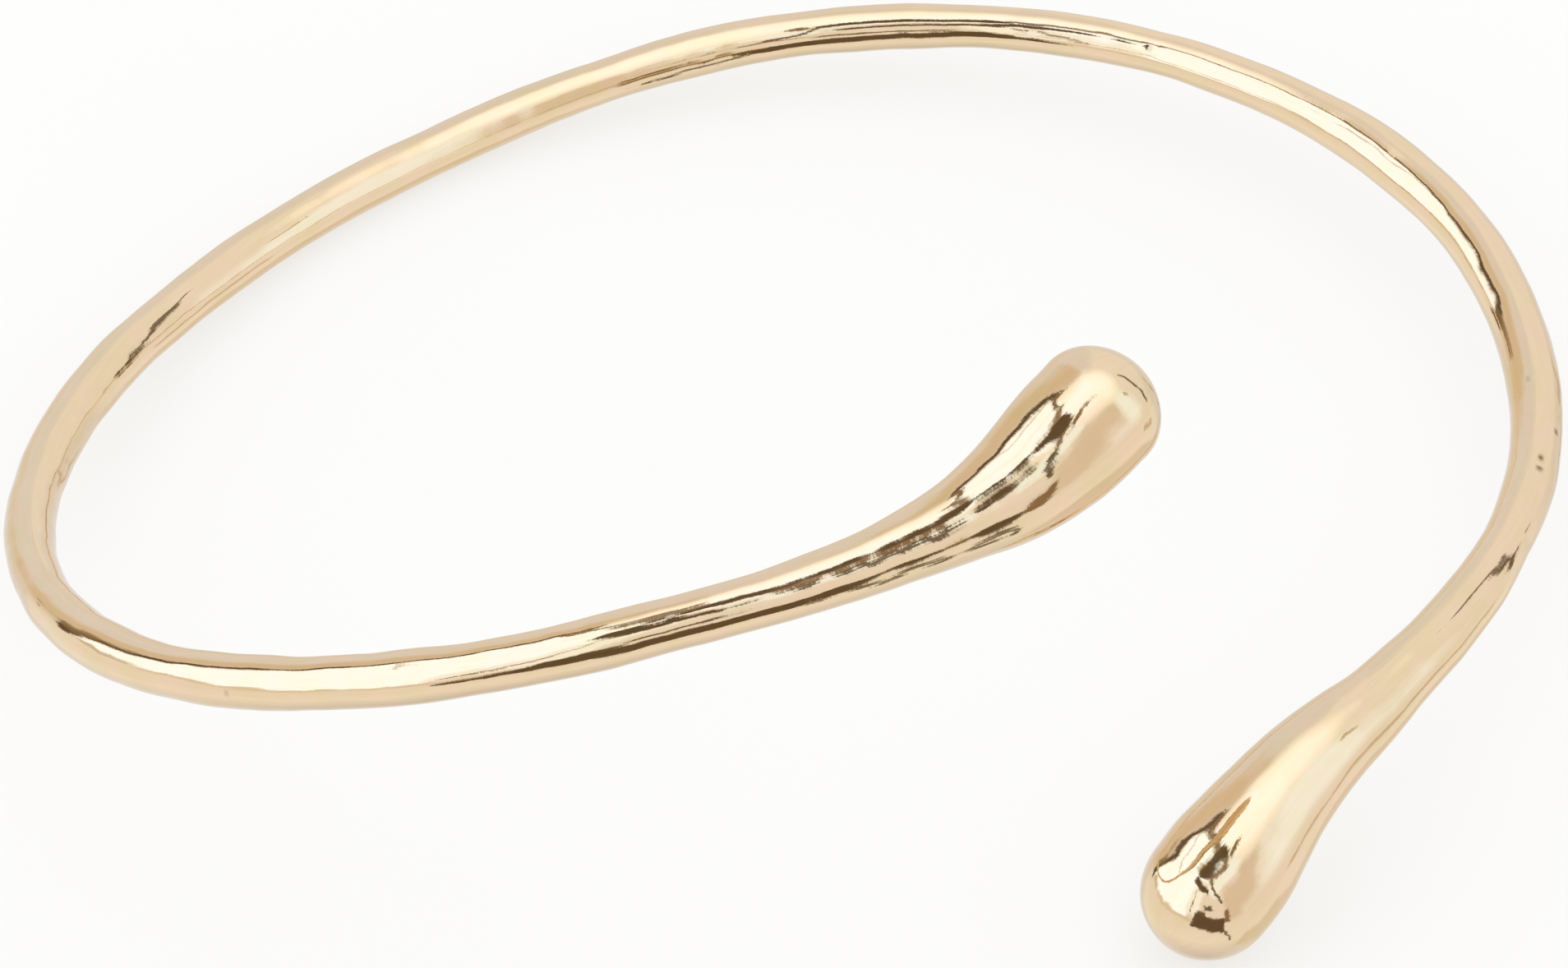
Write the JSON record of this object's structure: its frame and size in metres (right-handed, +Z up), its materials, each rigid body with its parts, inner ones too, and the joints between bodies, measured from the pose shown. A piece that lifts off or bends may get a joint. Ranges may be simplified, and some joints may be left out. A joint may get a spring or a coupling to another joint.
{
  "type": "open bypass bangle",
  "caption": "Rigid open bangle of round gold-coloured wire; it climbs round the wrist so the free ends pass one above the other, and each end swells into a smooth drop.",
  "frame": {"origin": "on the surface it rests on, under the middle of its bounding box", "axes": "+Z up as it rests; +X along the length of the oval, towards the wearer's side of the low drop's strand; +Y towards the closed back of the loop"},
  "size_m": [0.067, 0.0594, 0.0286],
  "materials": {
    "gold_plate": "polished pale gold plating over brass, lightly wavy from hand finishing"
  },
  "bodies": {
    "root": {"bangle": "gold_plate"}
  },
  "joints": []
}
